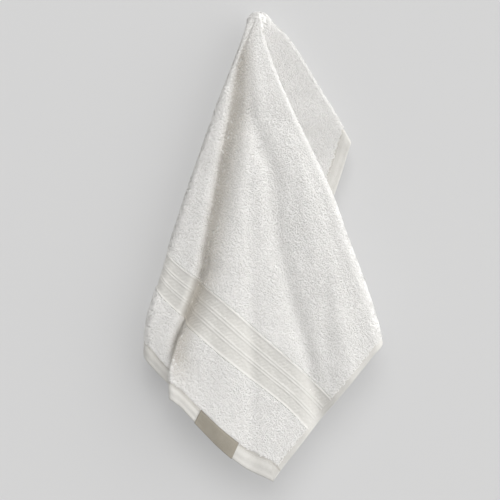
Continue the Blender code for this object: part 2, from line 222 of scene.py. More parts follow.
def pleatedAt(angle, height):
    x, y, radius = bendsAt(height)
    count = len(folds)
    edges = np.array([side for row in folds for side in (row[2], row[3])] + [folds[0][2] + 360.0])
    angle = (angle - edges[0]) % 360.0 + edges[0]
    part = np.clip(np.searchsorted(edges, angle, side="right") - 1, 0, 2 * count - 1)
    share = (angle - edges[part]) / (edges[part + 1] - edges[part])
    here, column = part // 2, np.arange(len(height))
    ways = np.array([legWay(x, y, radius, i, (i + 1) % count) for i in range(count)])
    after, before = ways[here, column], ways[(here - 1) % count, column]
    swing = (after - before) * turns[here] % (2.0 * math.pi) * turns[here]
    swing = np.where(np.abs(swing) > 1.6 * math.pi, 0.0, swing)
    onLeg, following = part % 2 == 1, (here + 1) % count
    way = np.where(onLeg, after, before + swing * share)
    normal = np.stack([-np.sin(way), np.cos(way)])
    first = np.stack([x[here, column], y[here, column]]) - radius[here, column] * normal
    last = np.stack([x[following, column], y[following, column]]) - radius[following, column] * normal
    place = np.where(onLeg, first + (last - first) * share, first)
    return place[0], place[1], np.cos(way), np.sin(way)


def swellAt(x, height, angle):
    push = np.zeros(len(height))
    for heights, places, width, depth, begins in swells:
        line = np.interp(height, heights, places)
        grown = ease(begins, begins + swellFade["growth"], height)
        push += depth * np.exp(-(((x - line) / width) ** 2)) * grown
    return push * ease(*swellFade["left"], angle) * (1.0 - ease(*swellFade["right"], angle))


def creaseAt(x, height, angle):
    # how far across the channel each place is, in its own width, and whether it lies on those panels
    line = levelAt("valley", height) + levelAt("overlap", height)
    low, high = channel["width"]
    width = low + (high - low) * ease(*cloth["bendsSpread"], height)
    within = ease(*channel["left"], angle) * (1.0 - ease(*channel["right"], angle))
    return (x - line) / (width * np.where(x < line, *channel["sides"])), within


def foldShadeAt(x, height, angle):
    # painted shade for the channel: one deep in the channel, none outside it
    apart, within = creaseAt(x, height, angle)
    deep = np.clip(levelAt("dip", height) / channel["shadeDepth"], 0.0, 1.0)
    return within * deep * np.exp(-((apart * 1.1) ** 2))


def channelAt(x, height, angle):
    apart, within = creaseAt(x, height, angle)
    crease = channel["deepened"] * np.exp(-(apart ** 2))
    crease -= channel["shoulders"] * np.exp(-((apart * 0.5) ** 2))
    return levelAt("dip", height) * crease * within


def leanAt(height, angle):
    turned = angle % 360.0
    start, end = sideLean["flat"]
    share = 1.0 - np.clip((turned - start) / (end - start), 0.0, 1.0)
    return sideLean["depth"] * ease(*sideLean["grows"], height) * share * ease(*sideLean["begins"], turned)


def slackAt(x, height, angle):
    turned = angle % 360.0
    within = sum(ease(a, b, turned) * (1.0 - ease(c, d, turned)) for a, b, c, d in slack["panels"])
    depth = sum(deep * softNoise(x, height, cell, seed) for cell, deep, seed in slack["cells"])
    return depth * within * ease(*slack["begins"], height)


def placeAt(angle, height):
    # middle of the cloth, and the direction round it
    x, y, alongX, alongY = pleatedAt(angle, height)
    topX, topY, _, _ = pleatedAt(angle, np.full(len(angle), levels[0][0]))
    halfWidth, halfDepth = cloth["tipHalfWidth"], cloth["tipHalfDepth"]
    turn = np.arctan2((topY - cloth["tipShiftY"]) / halfDepth, (topX - cloth["tipShiftX"]) / halfWidth)
    rise = np.clip(height / cloth["tipHeight"], 0.0, 1.0)
    size = np.sqrt(np.clip(1.0 - (1.0 - rise) ** 2, 0.0, 1.0))
    roundX = cloth["tipShiftX"] * rise + halfWidth * size * np.cos(turn)
    roundY = cloth["tipShiftY"] * rise + halfDepth * size * np.sin(turn)
    folded = ease(*cloth["tipEnds"], height)
    x = roundX + (x - roundX) * folded
    y = roundY + (y - roundY) * folded + swellAt(x, height, angle) + channelAt(x, height, angle)
    y += slackAt(x, height, angle) + leanAt(height, angle)
    ringX, ringY = -halfWidth * np.sin(turn) / halfDepth, np.cos(turn)
    length = np.hypot(ringX, ringY)
    alongX = ringX / length * (1.0 - folded) + alongX * folded
    alongY = ringY / length * (1.0 - folded) + alongY * folded
    return np.stack([x, y, -height], axis=1), np.stack([alongX, alongY, 0 * height], axis=1)


def surfaceAt(angle, height):
    # middle of the cloth and its outward direction
    middle, along = placeAt(angle, height)
    step = np.minimum(0.25, 0.4 * height)
    down = placeAt(angle, height + step)[0] - placeAt(angle, height - step)[0]
    outward = np.cross(down, along)
    outward /= np.linalg.norm(outward, axis=1)[:, None]
    middle[:, 2] += cloth["bodyHalf"] * cloth["neckShare"]
    return middle, outward


def reachTo(angle, right, left, near, far):
    # distance from the hook to a rectangle with these sides about it
    across, length = np.sin(np.radians(angle)), np.cos(np.radians(angle))
    toSide = np.where(across > 0, right, left) / np.maximum(np.abs(across), 1e-6)
    toHem = np.where(length > 0, near, far) / np.maximum(np.abs(length), 1e-6)
    return np.minimum(toSide, toHem)


def edgeReach(angle, border):
    hem, side = (cloth["hem"], cloth["selvedge"]) if border else (0.0, 0.0)
    right, near = cloth["hookFromRight"], cloth["hookFromHem"]
    left, far = cloth["width"] - right, cloth["length"] - near
    return reachTo(angle, right - side, left - side, near - hem, far - hem)


def giveAt(angle, reach):
    angle = (angle + 180.0) % 360.0 - 180.0
    inside = ease(*cloth["biasStarts"], angle) * (1.0 - ease(*cloth["biasEnds"], angle))
    corner = np.degrees(np.arctan2(cloth["hookFromRight"], cloth["hookFromHem"]))
    slack = cloth["cornerSlack"] * np.exp(-(((angle - corner) / cloth["cornerSpread"]) ** 2))
    begins = cloth["sagStarts"]
    sag = cloth["hemSag"] * np.sin(math.pi * np.clip((angle - begins) / (corner - begins), 0.0, 1.0))
    atEdge = (sag - slack) * ease(*cloth["nearEdge"], reach / edgeReach(angle, False))
    return 1.0 + cloth["biasGive"] * inside + atEdge


def tipSlack():
    return (math.pi / 2.0 - 1.0) * cloth["tipHeight"]


def depthBelow(angle, reach):
    # height below the tip of a point this far from the hook along the cloth
    target = reach * giveAt(angle, reach) - tipSlack()
    height = target * 0.95
    for _ in range(8):
        middle, _ = placeAt(angle, height)
        height = np.sqrt(np.maximum(target ** 2 - middle[:, 0] ** 2 - middle[:, 1] ** 2, 100.0))
    return height


def flatPlace(angle, height, middle):
    # where a point lies on the flat cloth: from the right selvedge, and from the near hem
    apart = np.sqrt(height ** 2 + middle[:, 0] ** 2 + middle[:, 1] ** 2)
    rise = np.clip(height / cloth["tipHeight"], 0.0, 1.0)
    hung = apart + tipSlack() * np.sqrt(rise)
    reach = hung
    for _ in range(4):
        reach = hung / giveAt(angle, reach)
    side = np.radians(angle)
    return cloth["hookFromRight"] - reach * np.sin(side), cloth["hookFromHem"] - reach * np.cos(side)


def hookAngle(fromSelvedge, fromHem):
    # the direction of a place on the flat cloth, seen from where the hook bears
    across, up = cloth["hookFromRight"] - fromSelvedge, cloth["hookFromHem"] - fromHem
    return np.degrees(np.arctan2(across, up)) % 360.0


def onCloth(fromSelvedge, fromHem):
    # middle, outward direction and height below the tip at places on the flat cloth
    angle = hookAngle(fromSelvedge, fromHem)
    reach = np.hypot(cloth["hookFromRight"] - fromSelvedge, cloth["hookFromHem"] - fromHem)
    height = depthBelow(angle, reach)
    return (*surfaceAt(angle, height), height)


def squeezeAt(height):
    return cloth["neckShare"] + (1.0 - cloth["neckShare"]) * ease(*cloth["thickens"], height)


def addMesh(name, points, quads, material, values=None, triangles=None, smooth=True):
    # points in millimetres; values are point attributes, one number or three for each point
    mesh = bpy.data.meshes.new(name)
    quads = np.asarray(quads, np.int32).reshape(-1, 4)
    triangles = np.zeros((0, 3), np.int32) if triangles is None else np.asarray(triangles, np.int32)
    corners = np.concatenate([quads.ravel(), triangles.ravel()])
    starts = np.concatenate([np.arange(len(quads)) * 4, len(quads) * 4 + np.arange(len(triangles)) * 3])
    mesh.vertices.add(len(points))
    mesh.vertices.foreach_set("co", (np.asarray(points) * mm).astype(np.float32).ravel())
    mesh.loops.add(len(corners))
    mesh.loops.foreach_set("vertex_index", corners)
    mesh.polygons.add(len(starts))
    mesh.polygons.foreach_set("loop_start", starts.astype(np.int32))
    mesh.update(calc_edges=True)
    for key, data in (values or {}).items():
        data = np.asarray(data, np.float32)
        kind = "FLOAT_VECTOR" if data.ndim == 2 else "FLOAT"
        attribute = mesh.attributes.new(key, kind, "POINT")
        attribute.data.foreach_set("vector" if data.ndim == 2 else "value", data.ravel())
    mesh.validate()
    if smooth:
        mesh.shade_smooth()
    mesh.materials.append(material)
    piece = bpy.data.objects.new(name, mesh)
    bpy.context.scene.collection.objects.link(piece)
    return piece


def gridQuads(rows, columns, closed=False):
    i, j = np.meshgrid(np.arange(rows - 1), np.arange(columns if closed else columns - 1), indexing="ij")
    k = (j + 1) % columns
    corners = (i * columns + j, (i + 1) * columns + j, (i + 1) * columns + k, i * columns + k)
    return np.stack(corners, -1).reshape(-1, 4)


class Socket:
    # wraps an output, or a plain value, so that materials can be written as sums
    def __init__(self, tree, value):
        self.tree, self.value = tree, value

    def math(self, operation, a, b, clamp=False):
        node = self.tree.nodes.new("ShaderNodeMath")
        node.operation, node.use_clamp = operation, clamp
        for i, part in enumerate((a, b)):
            part = part.value if isinstance(part, Socket) else part
            if isinstance(part, (int, float)):
                node.inputs[i].default_value = part
            else:
                self.tree.links.new(part, node.inputs[i])
        return Socket(self.tree, node.outputs[0])

    def nearTo(self, place, reach):
        # one at the place, falling to none this far from it
        away = self.math("ABSOLUTE", self - place, 0.0)
        return self.math("MAXIMUM", 1.0 - away * (1.0 / reach), 0.0)

    def sine(self, pitch):
        # a wave of this pitch along the socket
        return self.math("SINE", self * (2.0 * math.pi / pitch), 0.0)

    def __add__(self, other):
        return self.math("ADD", self, other)

    def __radd__(self, other):
        return self.math("ADD", other, self)

    def __sub__(self, other):
        return self.math("SUBTRACT", self, other)

    def __rsub__(self, other):
        return self.math("SUBTRACT", other, self)

    def __mul__(self, other):
        return self.math("MULTIPLY", self, other)

    def __rmul__(self, other):
        return self.math("MULTIPLY", other, self)


class Finish:
    def __init__(self, name, roughness, sheen=0.0):
        self.material = bpy.data.materials.new(name)
        self.material.use_nodes = True
        self.tree = self.material.node_tree
        self.shader = self.tree.nodes["Principled BSDF"]
        self.shader.inputs["Roughness"].default_value = roughness
        self.shader.inputs["Specular IOR Level"].default_value = 0.25
        self.shader.inputs["Sheen Weight"].default_value = sheen
        self.shader.inputs["Sheen Roughness"].default_value = 0.6

    def node(self, kind, settings=None, output=0, **sockets):
        made = self.tree.nodes.new(kind)
        for key, value in (settings or {}).items():
            setattr(made, key, value)
        for key, value in sockets.items():
            numbered = key[0] == "i" and key[1:].isdigit()
            socket = made.inputs[int(key[1:]) if numbered else key.replace("_", " ")]
            if isinstance(value, Socket):
                self.tree.links.new(value.value, socket)
            else:
                socket.default_value = value
        return Socket(self.tree, made.outputs[output])

    def blend(self, share, dark, light):
        # a colour between two, or between a socket and one
        return self.node("ShaderNodeMix", {"data_type": "RGBA"}, 2, i0=share, i6=dark, i7=light)

    def put(self, **sockets):
        for key, value in sockets.items():
            self.tree.links.new(value.value, self.shader.inputs[key.replace("_", " ")])

    def bump(self, height, strength, distance):
        raised = self.node("ShaderNodeBump", None, 0, Strength=strength, Distance=distance, Height=height)
        self.put(Normal=raised)


def clothSpace(finish):
    # the place on the flat cloth in millimetres, as a vector and as its two numbers
    vector = finish.node("ShaderNodeAttribute", {"attribute_name": "flat"}, 1)
    split = finish.tree.nodes.new("ShaderNodeSeparateXYZ")
    finish.tree.links.new(vector.value, split.inputs[0])
    return vector, Socket(finish.tree, split.outputs[0]), Socket(finish.tree, split.outputs[1])


terryLook = {
    "light": (0.93, 0.922, 0.905, 1.0),
    "deep": (0.66, 0.628, 0.575, 1.0),
    "hem": (0.755, 0.742, 0.71, 1.0),
    "hemDeep": (0.655, 0.638, 0.597, 1.0),
    "band": (0.765, 0.755, 0.73, 1.0),
    "bandDeep": (0.665, 0.65, 0.61, 1.0),
    # the dark colour of the painted shade in the channel and along the hem seam
    "folded": (0.50, 0.47, 0.42, 1.0),
    "seamHalf": 2.4,  # how far the painted shadow of the pile's step reaches onto the hem at its seam
    "seamShade": 0.75,
    "pickPitch": 1.2,
    "endPitch": 1.0,
}


def loopFinish():
    finish = Finish("cottonLoops", 0.95, 0.15)
    # the shade attribute holds the loops' random tone, plus painted shade in the channel and at their feet
    shade = finish.node("ShaderNodeAttribute", {"attribute_name": "shade"}, 2)
    finish.put(Base_Color=finish.blend(shade, terryLook["deep"], terryLook["light"]))
    return finish.material


def groundFinish():
    # the flat-woven ground: hems and selvedges, and what shows between the loops
    finish = Finish("cottonGround", 0.9, 0.15)
    vector, along, up = clothSpace(finish)
    flat = finish.node("ShaderNodeAttribute", {"attribute_name": "border"}, 2)
    mottle = finish.node("ShaderNodeTexNoise", None, 0, Vector=vector, Scale=0.12, Detail=4.0)
    fromHem = up.math("MINIMUM", up, cloth["length"] - up)
    # painted shadow of the pile's step, darkening the hem along its seam
    seamShadow = (fromHem - cloth["hem"]).nearTo(0.0, terryLook["seamHalf"]) * terryLook["seamShade"]
    plain = finish.blend(mottle, terryLook["hemDeep"], terryLook["hem"])
    ground = finish.blend(flat, terryLook["light"], plain)
    finish.put(Base_Color=finish.blend(seamShadow, ground, terryLook["folded"]))
    picks = up.sine(terryLook["pickPitch"])
    ends = along.sine(terryLook["endPitch"])
    curls = finish.node("ShaderNodeTexNoise", None, 0, Vector=vector, Scale=0.45, Detail=3.0)
    fromEdge = up.math("MINIMUM", fromHem, up.math("MINIMUM", along, cloth["width"] - along))
    ridges = (fromEdge + mottle * 3.0).sine(cloth["hem"] * 0.5)
    weave = (picks * ends * 0.4 + ridges * 0.8 + mottle) * flat
    finish.bump(weave + curls * 1.5 * (1.0 - flat), 0.6, 0.0005)
    return finish.material


def bandFinish():
    finish = Finish("ribbedBand", 0.85, 0.15)
    vector, along, up = clothSpace(finish)
    mottle = finish.node("ShaderNodeTexNoise", None, 0, Vector=vector, Scale=0.2, Detail=3.0)
    ends = along.sine(0.9)
    cord = finish.node("ShaderNodeAttribute", {"attribute_name": "cord"}, 2)
    woven = finish.blend(cord * 0.4 + mottle * 0.6, terryLook["bandDeep"], terryLook["band"])
    # painted shade: the band greys towards a dark colour where it crosses the channel
    folded = finish.node("ShaderNodeAttribute", {"attribute_name": "folded"}, 2)
    finish.put(Base_Color=finish.blend(folded * band["foldShade"], woven, terryLook["folded"]))
    finish.bump(ends * 0.4 + mottle, 0.4, 0.0003)
    return finish.material


labelLook = {
    "light": (0.36, 0.33, 0.275, 1.0),
    "deep": (0.25, 0.225, 0.18, 1.0),
    "tuckShadow": (0.13, 0.115, 0.09, 1.0),  # painted shadow where its top edge goes under the pile
    "tuckShadowReach": 2.2,
}


def labelFinish():
    finish = Finish("satinTape", 0.55, 0.3)
    vector, along, up = clothSpace(finish)
    mottle = finish.node("ShaderNodeTexNoise", None, 0, Vector=vector, Scale=0.09, Detail=2.0)
    rows = up.sine(0.7)
    threads = along.sine(0.9)
    tape = finish.blend(mottle * 0.7 + rows * 0.12 + 0.2, labelLook["deep"], labelLook["light"])
    # painted shadow: the label darkens near its top edge, where it goes under the pile
    tuckShadow = up.nearTo(label["height"] - label["overEdge"], labelLook["tuckShadowReach"])
    finish.put(Base_Color=finish.blend(tuckShadow, tape, labelLook["tuckShadow"]))
    finish.bump(rows * 0.6 + threads * 0.3, 0.35, 0.0002)
    return finish.material


def threadFinish():
    finish = Finish("sewingThread", 0.6)
    mottle = finish.node("ShaderNodeTexNoise", None, 0, Scale=900.0)
    finish.put(Base_Color=finish.blend(mottle, terryLook["hemDeep"], terryLook["hem"]))
    return finish.material


sheet = {
    "tipRings": (0.05, 0.25, 0.6, 1.2, 2.2, 4.0, 6.5, 9.5, 13.0, 17.0, 21.5, 26.5, 32.0, 37.5, 43.0),
    "bodyRings": 84,
    "borderShares": (0.06, 0.2, 0.4, 0.6, 0.8, 0.95, 1.0),  # where rings stand across the hem
    "pileGround": 0.5,  # half thickness under the loops
    "hemHalf": 1.5,
    "rimHalf": 0.9,
    "puckerCell": 16.0,
    "pucker": 0.5,
}


def clothAngles():
    angles = []
    for i, row in enumerate(folds):
        following = folds[(i + 1) % len(folds)][2] + (360.0 if i == len(folds) - 1 else 0.0)
        angles += list(np.linspace(row[2], row[3], row[8] + 1))
        angles += list(np.linspace(row[3], following, row[9] + 1))[1:-1]
    angles = np.array(angles)
    right, near, far = cloth["hookFromRight"], cloth["hookFromHem"], cloth["length"] - cloth["hookFromHem"]
    for corner in (math.degrees(math.atan2(right, near)), 180.0 - math.degrees(math.atan2(right, far))):
        angles[int(np.argmin(np.abs(angles - corner)))] = corner
    return angles


def sheetGrid():
    # rings of points from the tip to the edge, with their places on the flat cloth
    angles = clothAngles()
    inner = depthBelow(angles, edgeReach(angles, True))
    outer = depthBelow(angles, edgeReach(angles, False))
    start = sheet["tipRings"][-1]
    rows = [np.full(len(angles), value) for value in sheet["tipRings"]]
    rows += [start + (inner - start) * share for share in np.linspace(0, 1, sheet["bodyRings"] + 1)[1:]]
    rows += [inner + (outer - inner) * share for share in sheet["borderShares"]]
    heights = np.array(rows)
    flatAngles = np.tile(angles, len(rows))
    middle, outward = surfaceAt(flatAngles, heights.ravel())
    fromSelvedge, fromHem = flatPlace(flatAngles, heights.ravel(), middle)
    shape = heights.shape
    border = np.zeros(shape)
    border[-len(sheet["borderShares"]):] = 1.0
    return {
        "angles": angles, "heights": heights, "middle": middle.reshape(*shape, 3), "border": border,
        "outward": outward.reshape(*shape, 3), "a": fromSelvedge.reshape(shape), "b": fromHem.reshape(shape),
    }


def makeSheet(grid, material):
    rows, columns = grid["heights"].shape
    a, b, heights = grid["a"], grid["b"], grid["heights"]
    half = sheet["pileGround"] + (sheet["hemHalf"] - sheet["pileGround"]) * grid["border"]
    half[-1] = sheet["rimHalf"]
    half[-len(sheet["borderShares"])] = sheet["pileGround"]  # the seam lies in a groove
    half *= squeezeAt(heights)
    pucker = sheet["pucker"] * softNoise(a, b, sheet["puckerCell"], 5) * grid["border"]
    middle = grid["middle"] + grid["outward"] * pucker[..., None]
    outer = middle + grid["outward"] * half[..., None]
    innerSide = middle - grid["outward"] * half[..., None]
    top = cloth["bodyHalf"] * cloth["neckShare"]
    tipHalf = sheet["pileGround"] * cloth["neckShare"]
    points = np.concatenate([
        outer.reshape(-1, 3), innerSide.reshape(-1, 3), [(0, 0, top + tipHalf), (0, 0, top - tipHalf)],
    ])
    count = rows * columns
    quads = gridQuads(rows, columns, closed=True)
    last = (rows - 1) * columns + np.arange(columns)
    after = (rows - 1) * columns + (np.arange(columns) + 1) % columns
    rim = np.stack([last, last + count, after + count, after], -1)
    first, second = np.arange(columns), (np.arange(columns) + 1) % columns
    caps = np.concatenate([
        np.stack([np.full(columns, 2 * count), first, second], -1),
        np.stack([np.full(columns, 2 * count + 1), second + count, first + count], -1),
    ])
    place = np.stack([a.ravel(), b.ravel(), 0 * a.ravel()], -1)
    tip = [(cloth["hookFromRight"], cloth["hookFromHem"], 0.0)] * 2
    values = {
        "flat": np.concatenate([place, place, tip]),
        "border": np.concatenate([grid["border"].ravel(), grid["border"].ravel(), [0.0, 0.0]]),
    }
    faces = np.concatenate([quads, quads[:, ::-1] + count, rim])
    return addMesh("towelCloth", points, faces, material, values, caps)


band = {
    "low": 91.0,
    "high": 143.5,
    "ground": 1.0,
    "alongStep": 1.7,
    "upStep": 0.75,
    "ribPitch": 5.2,
    "ribSlant": 0.55,  # how far the ribs run sideways for each millimetre up
    "ribDepth": 0.4,
    "ribWander": (1.5, 9.0),  # how far the ribs stray from straight, and over what length
    "roughness": (0.25, 2.2),  # height and length of the small unevenness
    "edge": 0.2,  # how high the band stands at its own edges
    # how strongly the painted shade darkens the band in the channel
    "foldShade": 1.0,
    # cords: place from the near hem, half width, height
    "cords": (
        (92.6, 1.6, 1.3), (108.6, 1.0, 0.7), (112.0, 1.0, 0.7),
        (124.6, 1.0, 0.7), (128.0, 1.0, 0.7), (142.0, 1.3, 0.9),
    ),
}


def bandCords(up):
    return sum(rise * np.exp(-(((up - place) / width) ** 2)) for place, width, rise in band["cords"])


def makeBand(material):
    low, high, side = band["low"], band["high"], cloth["selvedge"]
    columns = int((cloth["width"] - 2 * side) / band["alongStep"])
    rows = int((high - low) / band["upStep"])
    places = np.linspace(side * 0.5, cloth["width"] - side * 0.5, columns)
    along, up = (part.ravel() for part in np.meshgrid(places, np.linspace(low, high, rows)))
    middle, outward, height = onCloth(along, up)
    cord = bandCords(up)
    stray, strayCell = band["ribWander"]
    wander = stray * softNoise(along, up, strayCell, 8)
    phase = (along + band["ribSlant"] * up + wander) * 2 * math.pi / band["ribPitch"]
    field = np.clip(1.0 - 2.0 * cord, 0.0, 1.0)
    rise = band["ground"] + cord + band["ribDepth"] * np.sin(phase) * field
    rough, roughCell = band["roughness"]
    rise += rough * softNoise(along, up, roughCell, 9)
    fromSelvedge = np.minimum(along, cloth["width"] - along) - side * 0.5
    drop = np.minimum(np.minimum(up - low, high - up), fromSelvedge)
    rise = band["edge"] + (rise - band["edge"]) * np.clip(drop, 0.0, 1.0)
    points = middle + outward * (rise * squeezeAt(height))[:, None]
    # painted shade: how deep each point lies in the channel's shade
    folded = foldShadeAt(middle[:, 0], height, hookAngle(along, up))
    values = {"flat": np.stack([along, up, 0 * up], -1), "cord": np.clip(cord, 0.0, 1.0), "folded": folded}
    return addMesh("wovenBand", points, gridQuads(rows, columns)[:, ::-1], material, values)


label = {
    "fromCorner": 89.0,
    "width": 68.0,
    "height": 23.0,
    "overEdge": 1.0,
    "lift": 1.9,
    "recess": 0.6,  # the bare strip between its top edge and the pile, at its right end
    "tuckedEdge": -0.3,  # how high its top edge lies where it goes into the hem seam
    "tuckedWidth": 2.6,
    "ripple": (0.35, 15.0),  # height and length of its waves
    "thick": 0.45,
    "columns": 56,
    "rows": 24,
}


def makeLabel(material):
    low, high = -label["overEdge"], label["height"] - label["overEdge"]
    along, up = np.meshgrid(
        np.linspace(label["fromCorner"], label["fromCorner"] + label["width"], label["columns"]),
        np.linspace(low, high, label["rows"]),
    )
    along, up = along.ravel(), up.ravel()
    middle, outward, _ = onCloth(along, up)
    ripple, rippleCell = label["ripple"]
    lift = label["lift"] + ripple * softNoise(along, up, rippleCell, 21)
    lift = lift + (label["tuckedEdge"] - lift) * ease(high - label["tuckedWidth"], high, up)
    front = middle + outward * (lift + label["thick"])[:, None]
    rear = middle + outward * lift[:, None]
    rows, columns = label["rows"], label["columns"]
    quads = gridQuads(rows, columns)[:, ::-1]
    count = rows * columns
    foot = list(range(columns))
    farSide = [row * columns + columns - 1 for row in range(1, rows)]
    head = [(rows - 1) * columns + column for column in range(columns - 2, -1, -1)]
    nearSide = [row * columns for row in range(rows - 2, 0, -1)]
    ring = np.array(foot + farSide + head + nearSide)
    after = np.roll(ring, -1)
    rim = np.stack([ring, after, after + count, ring + count], -1)
    place = np.stack([along, up, 0 * up], -1)
    faces = np.concatenate([quads, quads[:, ::-1] + count, rim[:, ::-1]])
    values = {"flat": np.concatenate([place, place])}
    return addMesh("sewnLabel", np.concatenate([front, rear]), faces, material, values)


pile = {
    "span": 2.3,
    "rise": 2.35,
    "width": 0.85,
    "lean": 0.45,  # towards the hook end of the cloth
    "most": 32000,  # loops in one piece
    "calm": 0.35,
    "curly": 0.8,
    "stations": (0.0, 0.33, 0.67, 1.0),
    "widths": (0.8, 1.0, 1.0, 0.8),
    "tints": (0.9, 1.0),
    "leastRise": 0.85,
    "rootShade": 0.97,  # painted shade: how light the foot of a loop is beside its top
    "foldShade": 0.92,  # how much painted shade darkens the pile deep in the fold
    "ragged": (1.6, 3.5),  # how unevenly the pile ends at hems and selvedges, and over what length
    "bareHem": 0.6,  # how far the pile stays off the hem
    "bareSelvedge": (0.75, 0.7),  # share of the selvedge that is bare, and of the unevenness that it has
    "curls": (90.0, 260.0),  # the loops grow calmer from the first to the second, going up from the near hem
    "turns": ((0.9, 17.0, 31), (0.9, 6.0, 32)),  # patches of loops that lie one way: turn, cell, seed
    "turnSpread": 0.28,
    "leanSway": (0.25, 9.0),
    "leanSpread": 0.18,
    "riseSway": (0.12, 7.0),
    "riseSpread": (0.82, 1.12),
    "sizeRise": 0.25,  # how much taller the larger loops are
    "spanSpread": (0.8, 1.25),
    "widthSpread": (0.85, 1.15),
    "rootHeight": 0.25,
    # behind the main panel the flap has only this share of its loops, this far in and below the neck
    "hiddenShare": 0.1,
    "hiddenReach": 14.0,
    "neckEnds": 40.0,
}

# One row per part of the cloth: name, cloth angles, side (1 outer, -1 inner), area for each loop, size
pileZones = [
    ("sideWall", 10.5, 12.0, 1, 4.2, 1.45),
    ("leftPanel", 12.0, 20.8, 1, 1.2, 1.0),
    ("mainPanel", 20.8, 58.8, 1, 1.22, 1.0),
    ("behindRidge", 58.8, 97.0, 1, 14.0, 1.9),
    ("flapFront", 97.0, 148.0, 1, 1.2, 1.0),
    ("flapBack", 148.0, 240.0, 1, 9.0, 1.6),
    ("pleats", 240.0, 351.8, 1, 9.0, 1.6),
    ("backPanel", 351.8, 370.5, 1, 7.0, 1.6),
    ("mainInside", 20.8, 58.8, -1, 12.0, 1.9),
    ("flapInside", 97.0, 148.0, -1, 13.0, 1.9),
]


def cellCentres(values):
    near, far = values[:-1], values[1:]
    return (near + np.roll(near, -1, 1) + far + np.roll(far, -1, 1)) / 4.0


def cornerMix(values, cell, u, v):
    # a grid's value inside its cells
    row, column = cell
    beside = (column + 1) % values.shape[1]
    u, v = (u[:, None], v[:, None]) if values.ndim == 3 else (u, v)
    near = values[row, column] * (1 - u) + values[row, beside] * u
    far = values[row + 1, column] * (1 - u) + values[row + 1, beside] * u
    return near * (1 - v) + far * v


def bareCloth(a, b):
    # where no loops grow: hems, selvedges, the band and under the label
    uneven, unevenCell = pile["ragged"]
    ragged = uneven * softNoise(a, b, unevenCell, 41)
    bareShare, raggedShare = pile["bareSelvedge"]
    hem, side = cloth["hem"] + pile["bareHem"] + ragged, cloth["selvedge"] * bareShare + raggedShare * ragged
    edges = (np.minimum(b, cloth["length"] - b) < hem) | (np.minimum(a, cloth["width"] - a) < side)
    onBand = (b > band["low"] - 0.2) & (b < band["high"] + 0.4)
    along = np.clip((a - label["fromCorner"]) / label["width"], 0.0, 1.0)
    top = label["height"] - label["overEdge"] + label["recess"] * (1.0 - 0.6 * along)
    onLabel = (b < top) & (a > label["fromCorner"] - 0.5) & (a < label["fromCorner"] + label["width"] + 0.5)
    return edges | onBand | onLabel


def scatterLoops(grid, zone, seed):
    name, first, last, side, areaEach, size = zone
    random = np.random.default_rng(seed)
    middle = grid["middle"]
    down = middle[1:] - middle[:-1]
    across = np.roll(middle, -1, 1) - middle
    area = np.linalg.norm(np.cross(down + np.roll(down, -1, 1), across[1:] + across[:-1]), axis=2) / 4.0
    columns = (grid["angles"] - first + 1e-6) % 360.0 < last - first
    wanted = area * columns[None, :] / areaEach
    if name == "flapFront":
        # only what shows beyond the main panel is worth close loops
        centre = cellCentres(middle)
        ridge = levelAt("ridge", -centre[..., 2].ravel()).reshape(centre.shape[:2])
        hidden = (centre[..., 0] < ridge - pile["hiddenReach"]) & (centre[..., 2] < -pile["neckEnds"])
        wanted = np.where(hidden, wanted * pile["hiddenShare"], wanted)
    count = random.poisson(wanted)
    row, column = np.nonzero(count)
    number = count[row, column]
    cell = (np.repeat(row, number), np.repeat(column, number))
    u, v = random.uniform(size=len(cell[0])), random.uniform(size=len(cell[0]))
    picked = {key: cornerMix(grid[key], cell, u, v) for key in ("middle", "outward", "a", "b", "heights")}
    picked["angle"] = hookAngle(picked["a"], picked["b"])
    keep = ~bareCloth(picked["a"], picked["b"])
    return {key: value[keep] for key, value in picked.items()}, side, size, random


def clothWays(picked):
    # unit directions on the surface: away from the near hem, and away from the right selvedge
    normal = picked["outward"]
    radial = np.array(picked["middle"])
    radial[:, 2] -= cloth["tipHeight"] * 0.3
    radial -= normal * np.sum(radial * normal, axis=1)[:, None]
    radial /= np.linalg.norm(radial, axis=1)[:, None] + 1e-9
    around = np.cross(normal, radial)
    turn = np.radians(picked["angle"])
    # the way out from the hook has this angle on the flat cloth
    hookward = -radial * np.cos(turn)[:, None] + around * np.sin(turn)[:, None]
    return hookward, np.cross(hookward, normal)


